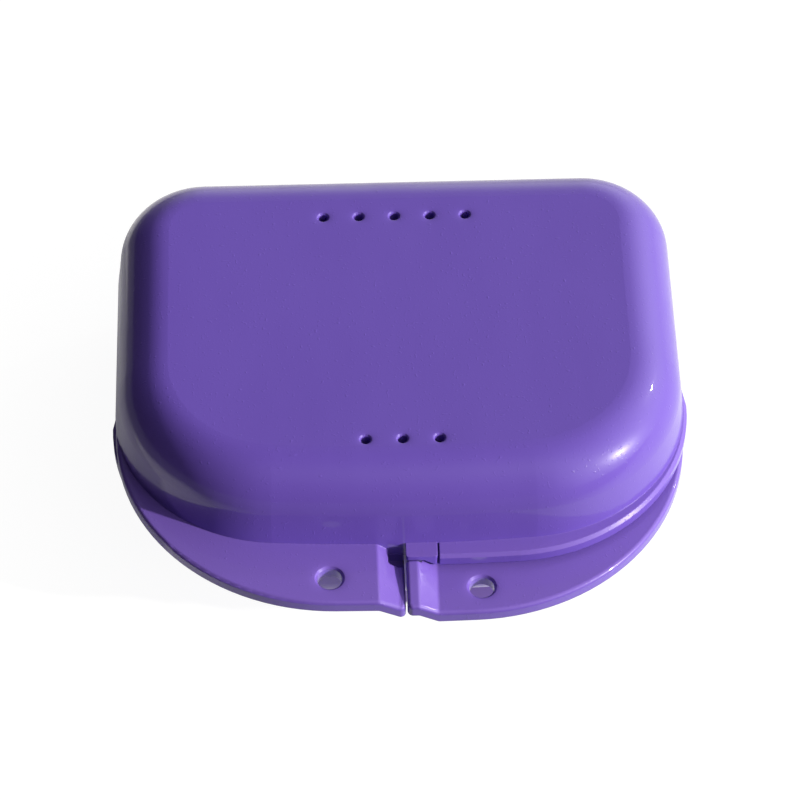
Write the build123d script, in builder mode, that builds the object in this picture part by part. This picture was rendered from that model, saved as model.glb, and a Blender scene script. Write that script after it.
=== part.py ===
"""Hinged case for a dental retainer: a lid and a base of the same form, on one steel pin.

Millimetres, +Z up, front of the case towards -Y, hinge at the back.
The origin is under the centre of the closed case, on the surface that it stands on.
"""
import os
from math import asin, degrees

from build123d import *

os.makedirs("parts", exist_ok=True)

# Plan of the case at the parting plane
case_width = 79.0
body_depth = 60.8
front_bow_radius = 250.0
front_corner_radius = 23.2
back_corner_radius = 12.65

# Shell of each half, measured from the parting plane
half_height = 13.75
wall = 1.8
floor_thickness = 1.8
draft_angle = 7.0
shoulder_radius = 7.2
parting_gap = 0.1

# Lap joint round the rim, where the base's tongue stands in the lid's rebate
tongue_height = 1.0
tongue_thickness = 0.8
lap_clearance = 0.1

# Finger flange on one side of each half, and the narrow lip on its other side
flange_reach = 9.9
flange_bow_radius = 400.0
flange_corner_radius = 30.5
flange_thickness = 1.8
flange_lift = 0.445
flange_sink = 0.1
flange_end_gap = 0.2
end_corner_radius = 0.8
lip_reach = 2.35
lip_side_reach = 0.5
lip_chamfer = 0.45
run_out_length = 8.0
run_out_depth = 1.5
edge_radius = 0.5

# Bend that brings the end of each flange to the parting plane at the middle of the front
lid_bend_start = 3.7
lid_bend_end = 0.9
base_bend_start = 4.3
base_bend_end = 1.7
bend_outer = 1.45
bend_inner = 2.05
crease_radius = 0.8

# Latch: a tab beside each flange, and on the lid's tab a hook that passes through the base's flange
pocket_width = 2.2
pocket_radius = 0.4
latch_clearance = 0.15
tab_width = 4.3
tab_proud = 0.1
tab_underside = 1.5
tab_slope_start = 2.6
tab_slope_end = 4.2
tab_corner_radius = 0.4
slit_width = 0.25
hook_width = 1.4
hook_thickness = 1.1
hook_drop = 2.3
barb_reach = 0.5
barb_top = 1.2

# Holes
vent_diameter = 1.35
vent_sides = 12
vent_chamfer = 0.2
vent_pitch = 5.0
back_vent_count = 5
back_vent_inset = 11.15
front_vent_count = 3
front_vent_inset = 9.0
lanyard_diameter = 3.4
lanyard_chamfer = 0.3
lanyard_offset = 10.25
lanyard_edge_distance = 4.4

# Hinge behind the back wall
pin_diameter = 1.6
pin_running_clearance = 0.05
pin_end_recess = 0.5
barrel_radius = 2.4
barrel_wall_clearance = 0.4
knuckle_count = 5
knuckle_length = 7.0
knuckle_gap = 0.3
gusset_height = 5.0

# Places that follow from the sizes above
half_width = case_width / 2
hinge_reach = barrel_wall_clearance + 2 * barrel_radius
front_y = flange_reach - (flange_reach + body_depth + hinge_reach) / 2
back_y = front_y + body_depth
axis_y = back_y + barrel_wall_clearance + barrel_radius
flange_front_y = front_y - flange_reach
lip_front_y = front_y - lip_reach
lanyard_y = flange_front_y + lanyard_edge_distance
flange_top = flange_lift + flange_thickness
tab_start = flange_end_gap / 2
tab_end = tab_start + tab_width
rim = parting_gap / 2
root_y = front_y + wall / 2
knuckle_pitch = knuckle_length + knuckle_gap
hinge_length = knuckle_count * knuckle_pitch - knuckle_gap

# Each half is drawn as the lid, upwards from the parting plane, and the base is turned over
lid_place = Location((0, 0, half_height))
base_place = Location((0, 0, half_height), (0, 180, 0))


def wall_plan(inset=0.0):
    """D-shaped plan of the wall, drawn in by a distance all round."""
    side = half_width - inset
    bow = front_bow_radius - inset
    corner = front_corner_radius - inset
    back_corner = back_corner_radius - inset
    turn = degrees(asin((side - corner) / (bow - corner)))
    with BuildSketch() as plan:
        with BuildLine():
            front = JernArc((0, front_y + inset), (1, 0), bow, turn)
            front_corner = JernArc(front @ 1, front % 1, corner, 90 - turn)
            flank = Line(front_corner @ 1, (side, back_y - inset - back_corner))
            rear_corner = JernArc(flank @ 1, (0, 1), back_corner, 90)
            Line(rear_corner @ 1, (0, back_y - inset))
            mirror(about=Plane.YZ)
        make_face()
    return plan.sketch


def skirt_plan(start, side, front, bow, corner):
    """Right half of a flange or lip, from near the middle of the front to where it runs out."""
    turn = degrees(asin((side - start - corner) / (bow - corner)))
    with BuildSketch() as plan:
        with BuildLine():
            front_edge = JernArc((start, front), (1, 0), bow, turn)
            swing = JernArc(front_edge @ 1, front_edge % 1, corner, 90 - turn)
            run_out = Line(swing @ 1, swing @ 1 + Vector(-run_out_depth, run_out_length))
            back = Line(run_out @ 1, (side / 2, (run_out @ 1).Y))
            inner = Line(back @ 1, (start, root_y))
            Line(inner @ 1, front_edge @ 0)
        make_face()
    return plan.sketch


def moulded_block(inset, height, shoulder):
    """Solid D-shaped block: an upright rim up to the flange's top, drafted walls, a round shoulder."""
    with BuildPart() as block:
        with BuildSketch():
            add(wall_plan(inset))
        extrude(amount=flange_top)
        with BuildSketch(Plane.XY.offset(flange_top)):
            add(wall_plan(inset))
        extrude(amount=height - flange_top, taper=draft_angle)
        fillet(block.faces().sort_by(Axis.Z)[-1].edges(), shoulder)
    return block.part


def rim_edges(plate, facing):
    """Edges on the side of a plate that faces along an axis, where they follow the arcs of its plan."""
    broad_faces = plate.faces().filter_by(lambda face: face.normal_at().dot(facing.direction) > 0.5)
    return plate.faces().filter_by(GeomType.CYLINDER).edges() & broad_faces.edges()


def flange_section(y, bend_start, bend_end):
    """Edge-on section of the left flange, whose end is bent down, further so towards the wall."""
    along = (y - flange_front_y) / (lip_front_y - flange_front_y)
    drop = bend_outer + (bend_inner - bend_outer) * along
    with BuildSketch(Plane.XZ.offset(-y)) as section:
        with BuildLine():
            Polyline(
                (-half_width, flange_top),
                (-bend_start, flange_top),
                (-bend_end, flange_top - drop),
                (0, flange_top - drop),
                (0, flange_lift - drop),
                (-bend_end, flange_lift - drop),
                (-bend_start, flange_lift),
                (-half_width, flange_lift),
                close=True,
            )
        make_face()
        fillet(section.vertices().filter_by_position(Axis.X, -bend_start, -bend_end), crease_radius)
    return section.sketch


def flange(bend_start, bend_end, facing):
    """Finger flange on the left: bent end, latch pocket, lanyard hole, and soft edges on one side."""
    with BuildPart() as sheet:
        add(flange_section(flange_front_y - wall, bend_start, bend_end))
        add(flange_section(back_y, bend_start, bend_end))
        loft(ruled=True)
    with BuildPart() as plate:
        with BuildSketch(Plane.XY.offset(-flange_top)) as plan:
            add(skirt_plan(tab_start, half_width - flange_sink, flange_front_y,
                           flange_bow_radius, flange_corner_radius))
            fillet(plan.vertices().sort_by(Axis.Y)[0], end_corner_radius)
            mirror(about=Plane.YZ, mode=Mode.REPLACE)
        extrude(amount=2 * flange_top)
        add(sheet.part, mode=Mode.INTERSECT)
        fillet(rim_edges(plate, facing), edge_radius)
        # Clear of the other half's wall below the parting plane
        with BuildSketch():
            add(wall_plan(-latch_clearance))
        extrude(amount=-2 * flange_top, mode=Mode.SUBTRACT)
        # Pocket against the wall, beside the middle
        with BuildSketch(Plane.XY.offset(-2 * flange_top)) as pocket:
            with Locations((-tab_start, lip_front_y - latch_clearance)):
                Rectangle(2 * pocket_width, 2 * lip_reach + wall, align=(Align.CENTER, Align.MIN))
            fillet(pocket.vertices().sort_by(Axis.Y)[:2], pocket_radius)
        extrude(amount=4 * flange_top, mode=Mode.SUBTRACT)
        with Locations((-lanyard_offset, lanyard_y, flange_top)):
            Hole(lanyard_diameter / 2, 2 * flange_thickness)
        hole_wall = plate.faces(Select.LAST).filter_by(GeomType.CYLINDER)
        chamfer(hole_wall.edges().sort_by(facing)[-1], lanyard_chamfer)
    return plate.part


def lip():
    """Narrow lip on the right, level with the flange, from beside the tab to where it runs out."""
    with BuildPart() as strip:
        with BuildSketch(Plane.XY.offset(flange_lift)):
            add(skirt_plan(tab_end + slit_width, half_width + lip_side_reach, lip_front_y,
                           front_bow_radius + lip_reach, front_corner_radius + lip_reach))
        extrude(amount=flange_thickness)
        chamfer(rim_edges(strip, Axis.Z), lip_chamfer)
    return strip.part


def tab():
    """Block beside the flange's end, which lies over the other half's bent flange."""
    with BuildPart() as block:
        with BuildSketch(Plane.XZ.offset(-root_y)):
            with BuildLine():
                Polyline(
                    (tab_start, tab_underside),
                    (tab_slope_start, tab_underside),
                    (tab_slope_end, flange_lift),
                    (tab_end, flange_lift),
                    (tab_end, flange_top + tab_proud),
                    (tab_start, flange_top + tab_proud),
                    close=True,
                )
            make_face()
        extrude(amount=root_y - lip_front_y)
        fillet(block.faces().sort_by(Axis.Y)[0].edges().filter_by(Axis.Z), tab_corner_radius)
    return block.part


def knuckle(index):
    """One barrel of the hinge with the gusset that carries it on the back wall."""
    start = index * knuckle_pitch - hinge_length / 2
    with BuildPart() as barrel:
        with BuildSketch(Plane.YZ.offset(start)):
            with Locations((axis_y, 0)):
                Circle(barrel_radius)
            with BuildLine():
                Polyline(
                    (back_y - wall / 2, rim),
                    (axis_y, rim),
                    (axis_y, barrel_radius),
                    (back_y - wall / 2, gusset_height),
                    close=True,
                )
            make_face()
        extrude(amount=knuckle_length)
    return barrel.part


def moulded_half(bend_start, bend_end, facing, knuckles, bore_diameter):
    """What the lid and the base share: shell, flange, lip, tab and barrels, drawn as the lid."""
    with BuildPart() as half:
        add(moulded_block(0, half_height, shoulder_radius))
        with BuildSketch():
            Rectangle(2 * case_width, 2 * body_depth)
        extrude(amount=rim, mode=Mode.SUBTRACT)
        add(flange(bend_start, bend_end, facing))
        add(lip())
        add(tab())
        for index in knuckles:
            add(knuckle(index))
        add(moulded_block(wall, half_height - floor_thickness, shoulder_radius - wall),
            mode=Mode.SUBTRACT)
        with BuildSketch(Plane.YZ):
            with Locations((axis_y, 0)):
                Circle(bore_diameter / 2)
        extrude(amount=hinge_length, both=True, mode=Mode.SUBTRACT)
    return half.part


with BuildPart() as lid:
    with Locations(lid_place):
        add(moulded_half(lid_bend_start, lid_bend_end, Axis.Z, (1, 3),
                         pin_diameter + 2 * pin_running_clearance))
    # Rebate inside the rim
    with BuildSketch(Plane.XY.offset(half_height)):
        add(wall_plan(wall - tongue_thickness - lap_clearance))
    extrude(amount=tongue_height + 2 * lap_clearance, mode=Mode.SUBTRACT)
    # Vent holes
    with BuildSketch(Plane.XY.offset(2 * half_height)):
        with Locations((0, back_y - back_vent_inset)):
            with GridLocations(vent_pitch, 0, back_vent_count, 1):
                RegularPolygon(vent_diameter / 2, vent_sides)
        with Locations((0, front_y + front_vent_inset)):
            with GridLocations(vent_pitch, 0, front_vent_count, 1):
                RegularPolygon(vent_diameter / 2, vent_sides)
    extrude(amount=-2 * floor_thickness, mode=Mode.SUBTRACT)
    top_face = lid.faces().sort_by(Axis.Z)[-1]
    chamfer(top_face.inner_wires().edges(), vent_chamfer)
    # Hook under the tab
    hook_front = lip_front_y + latch_clearance
    with BuildSketch(Plane.YZ.offset(tab_start + latch_clearance)):
        with BuildLine():
            Polyline(
                (hook_front, half_height + flange_top - tab_proud),
                (hook_front, half_height - barb_top),
                (hook_front - barb_reach, half_height - barb_top),
                (hook_front - barb_reach, half_height - barb_top - latch_clearance),
                (hook_front, half_height - hook_drop),
                (hook_front + hook_thickness, half_height - hook_drop),
                (hook_front + hook_thickness, half_height + flange_top - tab_proud),
                close=True,
            )
        make_face()
    extrude(amount=hook_width)

with BuildPart() as base:
    with Locations(base_place):
        add(moulded_half(base_bend_start, base_bend_end, -Axis.Z, (0, 2, 4), pin_diameter))
    # Tongue inside the rim
    with BuildSketch(Plane.XY.offset(half_height - floor_thickness)):
        add(wall_plan(wall - tongue_thickness))
        add(wall_plan(wall), mode=Mode.SUBTRACT)
    extrude(amount=floor_thickness + tongue_height)

with BuildPart() as hinge_pin:
    with BuildSketch(Plane.YZ):
        with Locations((axis_y, half_height)):
            Circle(pin_diameter / 2)
    extrude(amount=hinge_length / 2 - pin_end_recess, both=True)

lid.part.label = "lid"
base.part.label = "base"
hinge_pin.part.label = "hinge_pin"

export_step(lid.part, "parts/lid.step")
export_step(base.part, "parts/base.step")
export_step(hinge_pin.part, "parts/hinge_pin.step")
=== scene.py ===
"""Looks of a hinged retainer case: glossy moulded shells on a drawn steel pin, on a pale studio floor.

Metres, +Z up, front of the case towards -Y, hinge at the back, closed at rest.
"""
import logging
import math
from dataclasses import dataclass
from enum import Enum
from typing import Mapping, Optional, Union

import bpy
from mathutils import Matrix, Vector


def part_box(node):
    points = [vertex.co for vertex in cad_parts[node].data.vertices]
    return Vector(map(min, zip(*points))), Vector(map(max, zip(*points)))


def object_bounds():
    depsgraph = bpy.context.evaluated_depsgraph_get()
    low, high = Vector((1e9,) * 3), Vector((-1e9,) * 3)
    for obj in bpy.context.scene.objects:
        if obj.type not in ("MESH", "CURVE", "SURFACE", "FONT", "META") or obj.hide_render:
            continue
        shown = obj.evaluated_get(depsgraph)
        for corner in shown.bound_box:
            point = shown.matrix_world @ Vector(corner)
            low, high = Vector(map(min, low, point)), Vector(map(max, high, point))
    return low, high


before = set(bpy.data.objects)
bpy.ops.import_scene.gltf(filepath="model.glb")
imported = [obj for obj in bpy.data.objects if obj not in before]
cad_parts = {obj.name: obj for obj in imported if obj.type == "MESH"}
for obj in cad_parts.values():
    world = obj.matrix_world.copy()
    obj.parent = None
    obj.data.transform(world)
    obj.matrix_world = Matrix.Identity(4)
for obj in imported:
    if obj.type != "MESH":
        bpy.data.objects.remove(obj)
CAD_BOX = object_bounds()

MM = 0.001
WHITE = (1.0, 1.0, 1.0, 1.0)
log = logging.getLogger("retainer_case")

Number = Union[float, "Value"]
Colour = tuple[float, float, float]


class Value:
    """A number on its way through a shader, which takes the plain operators of arithmetic."""

    def __init__(self, graph: "Graph", socket: bpy.types.NodeSocket) -> None:
        """Wrap an output socket of a graph.

        Args:
            graph: the graph that the socket belongs to.
            socket: the output socket that carries the number.
        """
        self.graph = graph
        self.socket = socket

    def math(self, operation: str, *operands: Number, clamp: bool = False) -> "Value":
        """Add one Math node whose first input is this value.

        Args:
            operation: the Math node's operation.
            operands: what goes into its other inputs.
            clamp: whether the result is held between 0 and 1.

        Returns:
            The node's result.
        """
        return self.graph.math(operation, self, *operands, clamp=clamp)

    def clamped(self) -> "Value":
        """This value, held between 0 and 1."""
        return self.math("MULTIPLY", 1.0, clamp=True)

    def __add__(self, other: Number) -> "Value":
        """self + other."""
        return self.math("ADD", other)

    def __radd__(self, other: Number) -> "Value":
        """other + self."""
        return self.graph.math("ADD", other, self)

    def __sub__(self, other: Number) -> "Value":
        """self - other."""
        return self.math("SUBTRACT", other)

    def __rsub__(self, other: Number) -> "Value":
        """other - self."""
        return self.graph.math("SUBTRACT", other, self)

    def __mul__(self, other: Number) -> "Value":
        """self * other."""
        return self.math("MULTIPLY", other)

    def __rmul__(self, other: Number) -> "Value":
        """other * self."""
        return self.graph.math("MULTIPLY", other, self)

    def __truediv__(self, other: Number) -> "Value":
        """self / other."""
        return self.math("DIVIDE", other)

    def __rtruediv__(self, other: Number) -> "Value":
        """other / self."""
        return self.graph.math("DIVIDE", other, self)

    def __pow__(self, other: Number) -> "Value":
        """self ** other."""
        return self.math("POWER", other)


class Graph:
    """The node tree of a material or of the world, built up through a few calls."""

    def __init__(self, tree: bpy.types.NodeTree) -> None:
        """Start from an empty tree.

        Args:
            tree: the node tree to fill.
        """
        tree.nodes.clear()
        self.tree = tree

    def node(
        self,
        kind: str,
        settings: Optional[Mapping[str, object]] = None,
        inputs: Optional[Mapping[Union[str, int], object]] = None,
    ) -> bpy.types.Node:
        """Add one node.

        Args:
            kind: the node's type, such as ShaderNodeMix.
            settings: the node's own properties, which are set first.
            inputs: a value, a socket or a Value for each input, by name or by number.

        Returns:
            The new node.
        """
        made = self.tree.nodes.new(kind)
        for name, setting in (settings or {}).items():
            setattr(made, name, setting)
        for key, given in (inputs or {}).items():
            source = given.socket if isinstance(given, Value) else given
            if isinstance(source, bpy.types.NodeSocket):
                self.tree.links.new(source, made.inputs[key])
            else:
                made.inputs[key].default_value = source
        return made

    def math(self, operation: str, *operands: Number, clamp: bool = False) -> Value:
        """Add a Math node.

        Args:
            operation: the node's operation.
            operands: its inputs, in order.
            clamp: whether the result is held between 0 and 1.

        Returns:
            The node's result.
        """
        made = self.node(
            "ShaderNodeMath",
            {"operation": operation, "use_clamp": clamp},
            dict(enumerate(operands)),
        )
        return Value(self, made.outputs[0])

    def value(self, node: bpy.types.Node, output: str) -> Value:
        """One output of a node as a number."""
        return Value(self, node.outputs[output])

    def mix(self, factor: Number, first: object, second: object) -> bpy.types.NodeSocket:
        """Mix two colours.

        Args:
            factor: 0 for the first colour, 1 for the second.
            first: a colour or a socket.
            second: a colour or a socket.

        Returns:
            The socket of the mixed colour.
        """
        colours = [(*c, 1.0) if isinstance(c, tuple) else c for c in (first, second)]
        made = self.node(
            "ShaderNodeMix",
            {"data_type": "RGBA"},
            {0: factor, 6: colours[0], 7: colours[1]},
        )
        return made.outputs[2]

    def place(self) -> tuple[Value, Value, Value, bpy.types.NodeSocket]:
        """X, Y and Z of the shaded point in the object's own metres, and the socket with all three."""
        point = self.node("ShaderNodeTexCoord").outputs["Object"]
        apart = self.node("ShaderNodeSeparateXYZ", inputs={0: point})
        return self.value(apart, "X"), self.value(apart, "Y"), self.value(apart, "Z"), point

    def levelness(self) -> Value:
        """1 on faces that lie level in the object's own frame, 0 on upright ones."""
        normal = self.node("ShaderNodeTexCoord").outputs["Normal"]
        return self.value(self.node("ShaderNodeSeparateXYZ", inputs={0: normal}), "Z").math("ABSOLUTE")

    def noise(
        self,
        point: bpy.types.NodeSocket,
        grain: float,
        stretch: Colour = (1.0, 1.0, 1.0),
        detail: float = 2.0,
    ) -> Value:
        """Noise that is even over the surface.

        Args:
            point: where the noise is read.
            grain: the size of one patch of it, in metres.
            stretch: how much denser than that it is along X, Y and Z.
            detail: how many finer layers lie on the first.

        Returns:
            The noise, from 0 to 1 and about 0.5 on average.
        """
        scaled = self.node("ShaderNodeVectorMath", {"operation": "MULTIPLY"}, {0: point, 1: stretch})
        made = self.node(
            "ShaderNodeTexNoise",
            inputs={"Vector": scaled.outputs[0], "Scale": 1.0 / grain, "Detail": detail},
        )
        return self.value(made, "Fac")


class Half(Enum):
    """The two halves of the case, by their nodes."""

    LID = "lid"
    BASE = "base"


@dataclass(frozen=True)
class HoleRow:
    """A row of round holes along X, whose edges are sunk a little into the face round them.

    Args:
        y: where the row runs, in metres.
        floor: the height that the row's face lies above, in metres.
        diameter: across one hole's rim, where the sunk edge is deepest.
        sink_width: how far the sunk edge reaches from there.
        sink_depth: how deep it is there.
        x: the middle of the row.
        pitch: from one hole to the next.
        half_count: the number of holes on each side of the middle one.
    """

    y: float
    floor: float
    diameter: float
    sink_width: float
    sink_depth: float
    x: float = 0.0
    pitch: float = 5.0 * MM
    half_count: int = 0

    def height(self, graph: Graph, x: Value, y: Value, z: Value) -> Value:
        """Height of the surface round the holes, below 0 where it is sunk.

        Args:
            graph: the material's graph.
            x: the shaded point's X.
            y: the shaded point's Y.
            z: the shaded point's Z.

        Returns:
            The height in metres.
        """
        along = x - self.x
        step = (along / self.pitch).math("ROUND").math("MAXIMUM", -self.half_count)
        nearest = step.math("MINIMUM", self.half_count) * self.pitch
        distance = ((along - nearest) ** 2.0 + (y - self.y) ** 2.0) ** 0.5
        outside = (distance - self.diameter / 2.0).math("MAXIMUM", 0.0)
        fade = graph.math("EXPONENT", outside * (-1.0 / self.sink_width))
        return fade * z.math("GREATER_THAN", self.floor) * -self.sink_depth


@dataclass(frozen=True)
class MouldedPlastic:
    """Glossy coloured polypropylene, as it comes out of a polished mould.

    Args:
        name: the material's name.
        colour: the plastic's own colour.
        deep_colour: the slightly darker colour in its flow marks.
        painted_glow_colour: a lighter colour painted on the flanges' level faces, painted light that stands
            for light from the floor coming through the thin plastic.
        painted_glow_level: the height that the flanges lie at, round which the painted light lies.
        painted_glow_reach: how far above and below that the painted light goes, on level faces.
        painted_glow_share: how much of the painted light they take.
        refraction: the plastic's index of refraction.
        roughness: how far the haze round a highlight spreads.
        haze: how strong that haze is.
        polish: how much of the surface mirrors the room sharply.
        mirror_blur: the roughness of that mirror.
        smudge: how much duller handled patches are.
        peel: the height of the fine ripple of the surface, in metres.
        specks: the height of dust and nicks, in metres.
        speck_rarity: how few and small they are, from 0 to 1.
        sink: the height of the surface's long waves, in metres.
        flow_grain: the size of one flow mark, in metres.
        smudge_grain: the size of one handled patch.
        scratch_grain: the width of one scratch.
        peel_grain: the size of one ripple.
        speck_grain: the size of one speck.
        sink_grain: the length of one wave.
        edge_radius: how far moulded edges are softened.
        hole_rows: the holes whose edges are sunk.
    """

    name: str
    colour: Colour = (0.142, 0.080, 0.452)
    deep_colour: Colour = (0.126, 0.068, 0.412)
    painted_glow_colour: Colour = (0.200, 0.116, 0.520)
    painted_glow_level: float = 13.75 * MM
    painted_glow_reach: float = 2.5 * MM
    painted_glow_share: float = 0.85
    refraction: float = 1.49
    roughness: float = 0.29
    haze: float = 0.2
    polish: float = 0.65
    mirror_blur: float = 0.04
    smudge: float = 0.08
    peel: float = 0.0012 * MM
    specks: float = 0.12 * MM
    speck_rarity: float = 0.70
    sink: float = 0.022 * MM
    flow_grain: float = 9.0 * MM
    smudge_grain: float = 6.0 * MM
    scratch_grain: float = 0.5 * MM
    peel_grain: float = 1.6 * MM
    speck_grain: float = 0.4 * MM
    sink_grain: float = 15.0 * MM
    edge_radius: float = 0.22 * MM
    hole_rows: tuple[HoleRow, ...] = ()

    def make(self) -> bpy.types.Material:
        """Build the material.

        Returns:
            The new material.
        """
        material = bpy.data.materials.new(self.name)
        material.use_nodes = True
        graph = Graph(material.node_tree)
        x, y, z, point = graph.place()
        flow = graph.noise(point, self.flow_grain, (1.0, 0.35, 1.0), detail=3.0)
        smudges = graph.noise(point, self.smudge_grain, detail=5.0)
        scratches = graph.noise(point, self.scratch_grain, (0.06, 1.0, 1.0), detail=1.0)
        dust = graph.noise(point, self.speck_grain, detail=0.0)
        handled = ((smudges - 0.52) * 4.0).clamped()
        scratched = ((scratches - 0.66) * 9.0).math("MULTIPLY", 0.35, clamp=True)
        height = graph.noise(point, self.peel_grain) * self.peel
        height = height + graph.noise(point, self.sink_grain) * self.sink
        height = height + (dust - self.speck_rarity).math("MAXIMUM", 0.0) * self.specks
        for row in self.hole_rows:
            height = height + row.height(graph, x, y, z)
        edges = graph.node("ShaderNodeBevel", {"samples": 8}, {"Radius": self.edge_radius})
        relief = graph.node(
            "ShaderNodeBump",
            inputs={"Strength": 1.0, "Distance": 1.0, "Height": height, "Normal": edges.outputs[0]},
        )
        # Painted light: level faces near the flanges' height are painted lighter, standing for light from
        # the floor through the thin plastic; it does not change with the lamps.
        near = (z - self.painted_glow_level).math("ABSOLUTE").math("LESS_THAN", self.painted_glow_reach)
        painted_glow_mask = near * (graph.levelness() * 1.4 - 0.2).clamped()
        surface = graph.node(
            "ShaderNodeBsdfPrincipled",
            inputs={
                "Base Color": graph.mix(
                    painted_glow_mask * self.painted_glow_share,
                    graph.mix((flow - 0.4) * 1.2, self.colour, self.deep_colour),
                    self.painted_glow_colour,
                ),
                "Roughness": self.roughness + handled * self.smudge + scratched * 0.1,
                "IOR": self.refraction,
                "Specular IOR Level": self.haze,
                "Coat Weight": self.polish - handled * 0.1,
                "Coat Roughness": self.mirror_blur,
                "Normal": relief.outputs[0],
            },
        )
        graph.node("ShaderNodeOutputMaterial", inputs={"Surface": surface.outputs[0]})
        return material


@dataclass(frozen=True)
class DrawnWire:
    """Bright steel wire with fine lines along its length.

    Args:
        name: the material's name.
        colour: the metal's colour.
        dark_colour: its colour in the drawn lines.
        roughness: how dull the metal is.
        line_grain: the width of one drawn line.
        line_depth: how deep the lines are, in metres.
    """

    name: str
    colour: Colour = (0.62, 0.62, 0.63)
    dark_colour: Colour = (0.42, 0.41, 0.40)
    roughness: float = 0.24
    line_grain: float = 0.12 * MM
    line_depth: float = 0.004 * MM

    def make(self) -> bpy.types.Material:
        """Build the material.

        Returns:
            The new material.
        """
        material = bpy.data.materials.new(self.name)
        material.use_nodes = True
        graph = Graph(material.node_tree)
        point = graph.place()[3]
        lines = graph.noise(point, self.line_grain, (0.02, 1.0, 1.0), detail=3.0)
        relief = graph.node(
            "ShaderNodeBump", inputs={"Strength": 1.0, "Distance": 1.0, "Height": lines * self.line_depth}
        )
        surface = graph.node(
            "ShaderNodeBsdfPrincipled",
            inputs={
                "Base Color": graph.mix((lines - 0.35) * 2.0, self.dark_colour, self.colour),
                "Metallic": 1.0,
                "Roughness": self.roughness + lines * 0.2,
                "Normal": relief.outputs[0],
            },
        )
        graph.node("ShaderNodeOutputMaterial", inputs={"Surface": surface.outputs[0]})
        return material


@dataclass(frozen=True)
class PaleFloor:
    """A white studio floor, which shows white to the camera and keeps the case's shadow; right under the
    case it carries a painted shadow, and the light it gives back to the case is a painted pool of light.

    Args:
        name: the material's name.
        colour: the floor's own colour, as the camera sees it.
        painted_shadow_colour: a painted shadow, dark purple as if lit through the plastic, that the camera
            sees on the floor right under the case and through the flanges' holes.
        lit_colour: the colour the floor gives back to the case inside a painted pool of light near it.
        dim_colour: the colour it gives back beyond that pool, a painted shade.
        pool_left: where the pool begins to fade towards the left, in metres.
        pool_front: where it begins to fade towards the front.
        pool_fade: over how far it fades.
        painted_shadow_half: half of the floor that lies right under the case, along X and along Y, which
            carries the painted shadow.
        painted_shadow_squareness: how square the corners of that painted shadow are.
        painted_shadow_hardness: how hard its edge is.
        shown_share: how much of what the camera sees is the lit floor, and so its shadow.
        mirrored_share: how much white the glossy plastic mirrors from the floor, beside the lit floor.
        backlight: the brightness of the rest, which makes up for what the lit floor lacks of white.
    """

    name: str
    colour: Colour = (0.80, 0.80, 0.80)
    painted_shadow_colour: Colour = (0.24, 0.165, 0.45)
    lit_colour: Colour = (0.92, 0.92, 0.92)
    dim_colour: Colour = (0.04, 0.04, 0.04)
    pool_left: float = -82.0 * MM
    pool_front: float = -43.0 * MM
    pool_fade: float = 22.0 * MM
    painted_shadow_half: tuple[float, float] = (30.0 * MM, 26.3 * MM)
    painted_shadow_squareness: float = 4.0
    painted_shadow_hardness: float = 12.0
    shown_share: float = 0.18
    mirrored_share: float = 0.15
    backlight: float = 1.15

    def make(self) -> bpy.types.Material:
        """Build the material.

        Returns:
            The new material.
        """
        material = bpy.data.materials.new(self.name)
        material.use_nodes = True
        graph = Graph(material.node_tree)
        rays = graph.node("ShaderNodeLightPath")
        seen = graph.value(rays, "Is Camera Ray")
        x, y = graph.place()[:2]
        # Painted light: for all but camera rays the floor's colour is bright near the case and dark beyond,
        # a pool of light painted into the floor.
        outside = (self.pool_left - x).math("MAXIMUM", self.pool_front - y)
        dimming = (outside / self.pool_fade).clamped()
        given_back = graph.mix(dimming, self.lit_colour, self.dim_colour)
        # Painted shadow: right under the case the camera sees the floor painted dark purple, without the
        # white backlight.
        across = (x / self.painted_shadow_half[0]).math("ABSOLUTE") ** self.painted_shadow_squareness
        along = (y / self.painted_shadow_half[1]).math("ABSOLUTE") ** self.painted_shadow_squareness
        outside_painted_shadow = ((across + along - 1.0) * self.painted_shadow_hardness + 1.0).clamped()
        shown = graph.mix(outside_painted_shadow, self.painted_shadow_colour, self.colour)
        paper = graph.node("ShaderNodeBsdfDiffuse", inputs={"Color": graph.mix(seen, given_back, shown)})
        mirrored = graph.value(rays, "Is Glossy Ray") * self.mirrored_share
        white = graph.node("ShaderNodeEmission", inputs={"Color": WHITE, "Strength": self.backlight})
        surface = graph.node(
            "ShaderNodeMixShader",
            inputs={
                0: seen * outside_painted_shadow * (1.0 - self.shown_share) + mirrored,
                1: paper.outputs[0],
                2: white.outputs[0],
            },
        )
        graph.node("ShaderNodeOutputMaterial", inputs={"Surface": surface.outputs[0]})
        return material


@dataclass
class Moulding:
    """One of the two plastic halves, as the frame holds it, with its finish.

    Args:
        half: which of the two it is.
        finish: what it is made of.
    """

    half: Half
    finish: MouldedPlastic

    def dress(self) -> None:
        """Give the half its finish."""
        assign(self.half.value, self.finish.make())


@dataclass
class HingePin:
    """The steel wire that the lid turns on.

    Args:
        node: the pin's node.
        finish: what it is made of.
    """

    node: str = "hinge_pin"
    finish: DrawnWire = DrawnWire("drawn_steel")

    def dress(self) -> None:
        """Give the pin its finish."""
        assign(self.node, self.finish.make())


def assign(node: str, material: bpy.types.Material) -> None:
    """Put a material into every slot of a node.

    Args:
        node: the node's name.
        material: its new material.
    """
    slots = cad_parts[node].material_slots
    for slot in slots:
        slot.material = material
    log.info("%s dressed in %s", node, material.name)


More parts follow.
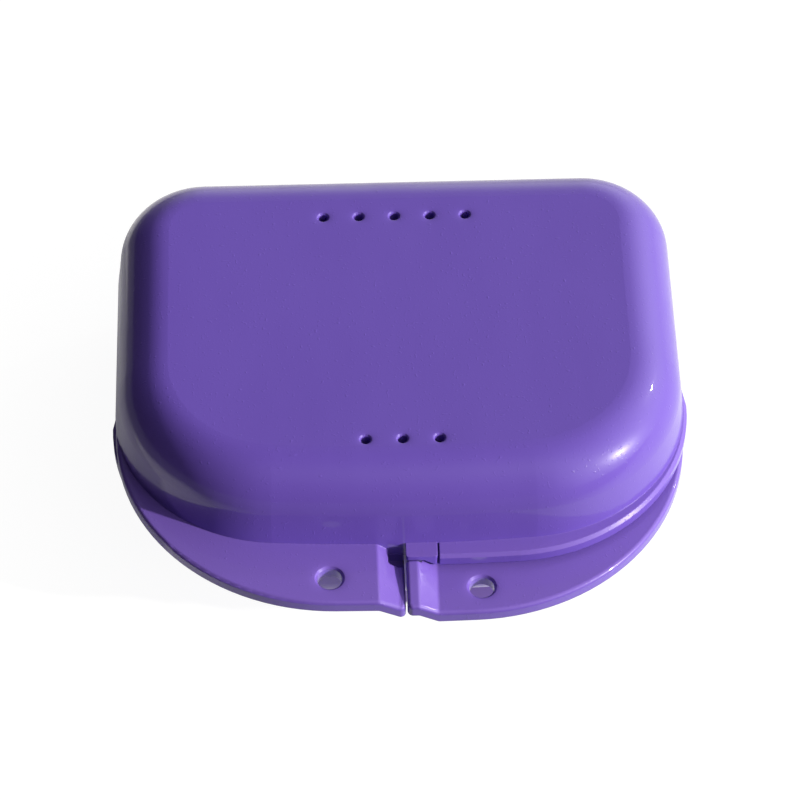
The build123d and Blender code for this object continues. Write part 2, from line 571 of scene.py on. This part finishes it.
@dataclass
class Case:
    """The whole case: lid, base and pin.

    Args:
        lanyard_x: from the middle of the case to each lanyard hole.
        lanyard_inset: from the front of the flanges to the lanyard holes.
        back_vent_inset: from the back of the case to the back vents.
        front_vent_inset: from the front of the flanges to the front vents.
        vent_rim: across the rim of a vent.
        vent_sink: how wide and how deep the vents' edges are sunk.
        lanyard_rim: across the rim of a lanyard hole.
        lanyard_sink: how wide and how deep the lanyard holes' edges are sunk.
        top_skin: how far below the lid's top the vents' edges reach.
        flange_skin: how far below the base's highest point its flange's face may lie.
    """

    lanyard_x: float = 10.25 * MM
    lanyard_inset: float = 4.4 * MM
    back_vent_inset: float = 16.35 * MM
    front_vent_inset: float = 18.9 * MM
    vent_rim: float = 1.6 * MM
    vent_sink: tuple[float, float] = (0.38 * MM, 0.09 * MM)
    lanyard_rim: float = 3.6 * MM
    lanyard_sink: tuple[float, float] = (0.5 * MM, 0.14 * MM)
    top_skin: float = 0.3 * MM
    flange_skin: float = 3.5 * MM

    def build(self) -> list[Union[Moulding, HingePin]]:
        """Make the sub-assemblies.

        Returns:
            The lid, the base and the pin.
        """
        front, back = CAD_BOX[0].y, CAD_BOX[1].y
        lid_top, base_top = (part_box(half.value)[1].z for half in Half)
        vents = {
            "floor": lid_top - self.top_skin,
            "diameter": self.vent_rim,
            "sink_width": self.vent_sink[0],
            "sink_depth": self.vent_sink[1],
        }
        lanyard = {
            "y": front + self.lanyard_inset,
            "diameter": self.lanyard_rim,
            "sink_width": self.lanyard_sink[0],
            "sink_depth": self.lanyard_sink[1],
        }
        lid_rows = (
            HoleRow(y=back - self.back_vent_inset, half_count=2, **vents),
            HoleRow(y=front + self.front_vent_inset, half_count=1, **vents),
            HoleRow(x=-self.lanyard_x, floor=0.0, **lanyard),
        )
        base_rows = (HoleRow(x=self.lanyard_x, floor=base_top - self.flange_skin, **lanyard),)
        return [
            Moulding(Half.LID, MouldedPlastic("lid_plastic", hole_rows=lid_rows)),
            Moulding(Half.BASE, MouldedPlastic("base_plastic", hole_rows=base_rows)),
            HingePin(),
        ]


@dataclass(frozen=True)
class Glow:
    """A soft patch of light in the room round the case, brightest in its middle.

    Args:
        azimuth: where it stands, in degrees from the right of the case towards its back.
        elevation: how high it stands above the horizon, in degrees.
        strength: how bright its middle is.
        width: the angle from its middle to where it has faded to about a third, in degrees.
    """

    azimuth: float
    elevation: float
    strength: float
    width: float

    def toward(self) -> Vector:
        """Unit vector from the case to the middle of the patch."""
        around, rise = math.radians(self.azimuth), math.radians(self.elevation)
        return Vector((math.cos(around) * math.cos(rise), math.sin(around) * math.cos(rise), math.sin(rise)))

    def shine(self, graph: Graph, x: Value, y: Value, z: Value) -> Value:
        """Brightness of the patch along a direction.

        Args:
            graph: the world's graph.
            x: the direction's X.
            y: the direction's Y.
            z: the direction's Z.

        Returns:
            The brightness.
        """
        middle = self.toward()
        along = x * middle.x + y * middle.y + z * middle.z
        falloff = 1.0 / (1.0 - math.cos(math.radians(self.width)))
        return graph.math("EXPONENT", (along - 1.0) * falloff) * self.strength


@dataclass(frozen=True)
class Lamp:
    """A distant lamp.

    Args:
        name: the lamp's name.
        azimuth: where it stands, in degrees from the right of the case towards its back.
        elevation: how high it stands above the horizon, in degrees.
        strength: what it sheds on a face turned to it, in watts per square metre.
        angle: how wide it looks, in degrees.
        colour: its colour, a little warm.
    """

    name: str
    azimuth: float
    elevation: float
    strength: float
    angle: float
    colour: Colour = (1.0, 0.97, 0.88)

    def hang(self) -> None:
        """Add the lamp to the scene."""
        data = bpy.data.lights.new(self.name, "SUN")
        data.energy = self.strength
        data.color = self.colour
        data.angle = math.radians(self.angle)
        lamp = bpy.data.objects.new(self.name, data)
        toward = Glow(self.azimuth, self.elevation, 1.0, 1.0).toward()
        lamp.rotation_euler = toward.to_track_quat("Z", "Y").to_euler()
        bpy.context.scene.collection.objects.link(lamp)


@dataclass
class Studio:
    """Floor, surroundings, lamps and camera.

    Args:
        floor_size: the side of the square floor.
        floor_gap: how far it lies below the case, so that the two faces don't flicker.
        dimness: the room's light where no patch of it reaches.
        glows: the soft patches of light in the room.
        lamps: the lamps, whose mirror images are the highlights.
        camera_place: where the camera stands, in millimetres.
        camera_elevation: how far above the horizon it looks down, in degrees.
        camera_yaw: how far it stands to the left, as an angle, in degrees.
        camera_roll: how far it is tilted, in degrees.
        camera_lens: its focal length in millimetres, on a 36 mm sensor.
    """

    floor_size: float = 3.0
    floor_gap: float = 0.02 * MM
    dimness: float = 0.02
    glows: tuple[Glow, ...] = (
        Glow(azimuth=-30.0, elevation=24.0, strength=1.9, width=28.0),
        Glow(azimuth=30.0, elevation=28.0, strength=2.15, width=30.0),
        Glow(azimuth=-12.0, elevation=0.0, strength=0.85, width=33.0),
        Glow(azimuth=80.0, elevation=6.0, strength=1.75, width=24.0),
        Glow(azimuth=-60.0, elevation=60.0, strength=0.6, width=22.0),
    )
    lamps: tuple[Lamp, ...] = (
        Lamp("key", azimuth=-22.0, elevation=21.0, strength=4.35, angle=2.2),
        Lamp("second", azimuth=28.0, elevation=30.0, strength=0.2, angle=3.0),
    )
    camera_place: Vector = Vector((-9.78, -348.66, 429.92))
    camera_elevation: float = 50.10
    camera_yaw: float = -1.64
    camera_roll: float = -0.09
    camera_lens: float = 174.1

    def lay_floor(self) -> None:
        """Lay the floor just under the case."""
        half = self.floor_size / 2.0
        corners = [(-half, -half, 0.0), (half, -half, 0.0), (half, half, 0.0), (-half, half, 0.0)]
        mesh = bpy.data.meshes.new("studio_floor")
        mesh.from_pydata(corners, [], [(0, 1, 2, 3)])
        mesh.materials.append(PaleFloor("studio_floor").make())
        floor = bpy.data.objects.new("studio_floor", mesh)
        floor.location.z = -self.floor_gap
        bpy.context.scene.collection.objects.link(floor)

    def light_room(self) -> None:
        """Surround the scene with a dim room that shows white to the camera."""
        world = bpy.data.worlds.new("room")
        bpy.context.scene.world = world
        world.use_nodes = True
        graph = Graph(world.node_tree)
        rays = graph.node("ShaderNodeLightPath")
        way = graph.node("ShaderNodeTexCoord").outputs["Generated"]
        apart = graph.node("ShaderNodeSeparateXYZ", inputs={0: way})
        x, y, z = (graph.value(apart, axis) for axis in "XYZ")
        light: Number = self.dimness
        for glow in self.glows:
            light = light + glow.shine(graph, x, y, z)
        room = graph.node("ShaderNodeBackground", inputs={"Strength": light})
        white = graph.node("ShaderNodeBackground", inputs={"Color": WHITE})
        shown = graph.node(
            "ShaderNodeMixShader",
            inputs={0: graph.value(rays, "Is Camera Ray"), 1: room.outputs[0], 2: white.outputs[0]},
        )
        graph.node("ShaderNodeOutputWorld", inputs={"Surface": shown.outputs[0]})

    def hang_lamps(self) -> None:
        """Hang the lamps."""
        for lamp in self.lamps:
            lamp.hang()

    def place_camera(self) -> None:
        """Set the camera where the photograph was taken from."""
        yaw, rise = math.radians(self.camera_yaw), math.radians(self.camera_elevation)
        back = Vector((math.sin(yaw) * math.cos(rise), -math.cos(yaw) * math.cos(rise), math.sin(rise)))
        right = Vector((math.cos(yaw), math.sin(yaw), 0.0))
        up = back.cross(right)
        turned = Matrix((right, up, back)).transposed()
        turned = turned @ Matrix.Rotation(math.radians(self.camera_roll), 3, "Z")
        data = bpy.data.cameras.new("camera")
        data.sensor_width = 36.0
        data.lens = self.camera_lens
        data.clip_start, data.clip_end = 0.01, 10.0
        camera = bpy.data.objects.new("camera", data)
        camera.matrix_world = Matrix.Translation(self.camera_place * MM) @ turned.to_4x4()
        bpy.context.scene.collection.objects.link(camera)
        bpy.context.scene.camera = camera
        bpy.context.scene.view_settings.view_transform = "Standard"

    def build(self) -> None:
        """Build the studio."""
        self.place_camera()
        self.lay_floor()
        self.light_room()
        self.hang_lamps()


def main() -> None:
    """Dress the case and build the studio round it."""
    logging.basicConfig(level=logging.INFO, format="%(message)s")
    for piece in Case().build():
        piece.dress()
    Studio().build()


if __name__ == "__main__":
    main()
